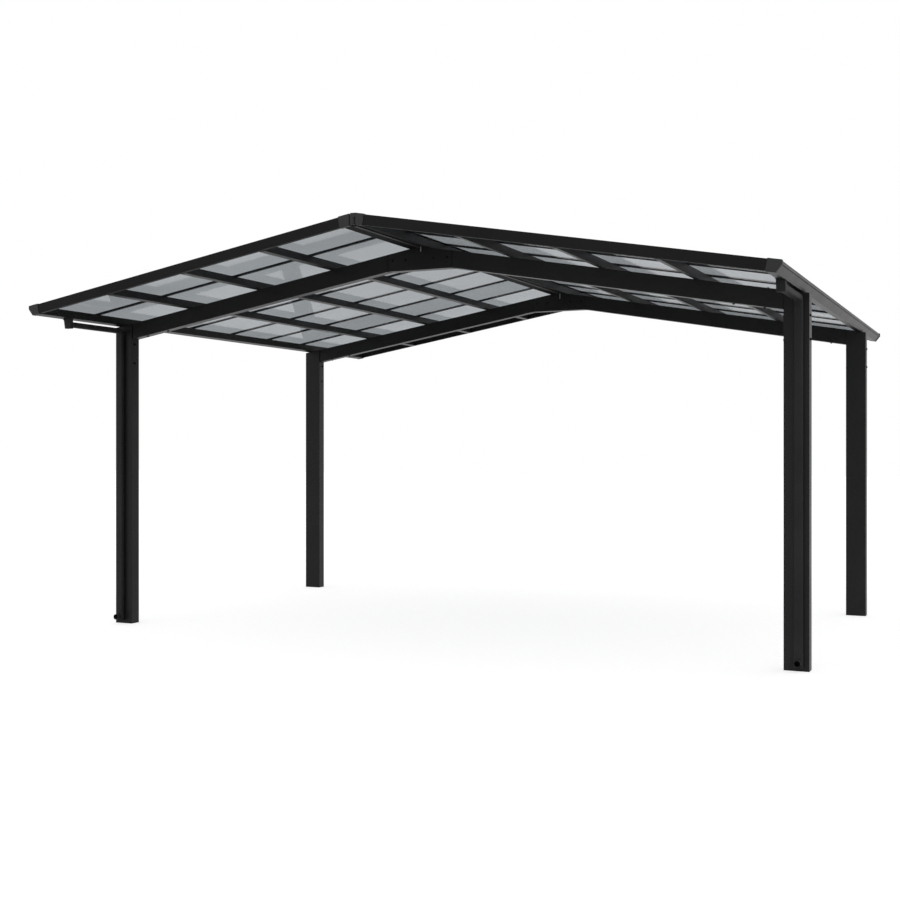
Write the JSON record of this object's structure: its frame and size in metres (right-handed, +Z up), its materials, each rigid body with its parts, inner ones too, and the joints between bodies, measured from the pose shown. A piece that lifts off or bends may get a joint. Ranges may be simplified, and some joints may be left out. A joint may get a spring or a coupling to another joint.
{
  "type": "double carport",
  "caption": "Free-standing gabled carport: four box posts, sloping beams, purlins and smoked translucent roof sheets, with gutters and downpipes.",
  "frame": {"origin": "on the ground at the middle of the footprint", "axes": "+X to the right across the two bays, +Y from the front to the rear, +Z up"},
  "size_m": [5.468, 4.978, 2.9331],
  "materials": {
    "frame": "satin",
    "cap": "matte",
    "pipe": "satin",
    "sheet": "gloss"
  },
  "bodies": {
    "root": {"post_front_left": "frame", "beam_front_left": "frame", "rake_front_left": "frame", "eave_cap_front_left": "cap", "ridge_cap_front_left": "cap", "post_front_right": "frame", "beam_front_right": "frame", "rake_front_right": "frame", "eave_cap_front_right": "cap", "ridge_cap_front_right": "cap", "post_rear_left": "frame", "beam_rear_left": "frame", "rake_rear_left": "frame", "eave_cap_rear_left": "cap", "ridge_cap_rear_left": "cap", "post_rear_right": "frame", "beam_rear_right": "frame", "rake_rear_right": "frame", "eave_cap_rear_right": "cap", "ridge_cap_rear_right": "cap", "beam_joint_front": "frame", "beam_joint_rear": "frame", "gutter_left": "frame", "ridge_rail_left": "frame", "purlins_left": "frame", "glazing_bars_left": "frame", "roof_sheets_left": "sheet", "gutter_outlet_left": "pipe", "level_pipe_left": "pipe", "pipe_bend_left": "pipe", "downpipe_left": "pipe", "spout_left": "pipe", "gutter_right": "frame", "ridge_rail_right": "frame", "purlins_right": "frame", "glazing_bars_right": "frame", "roof_sheets_right": "sheet", "gutter_outlet_right": "pipe", "level_pipe_right": "pipe", "pipe_bend_right": "pipe", "downpipe_right": "pipe", "spout_right": "pipe", "ridge_key": "cap", "ridge_cover": "frame"}
  },
  "joints": []
}
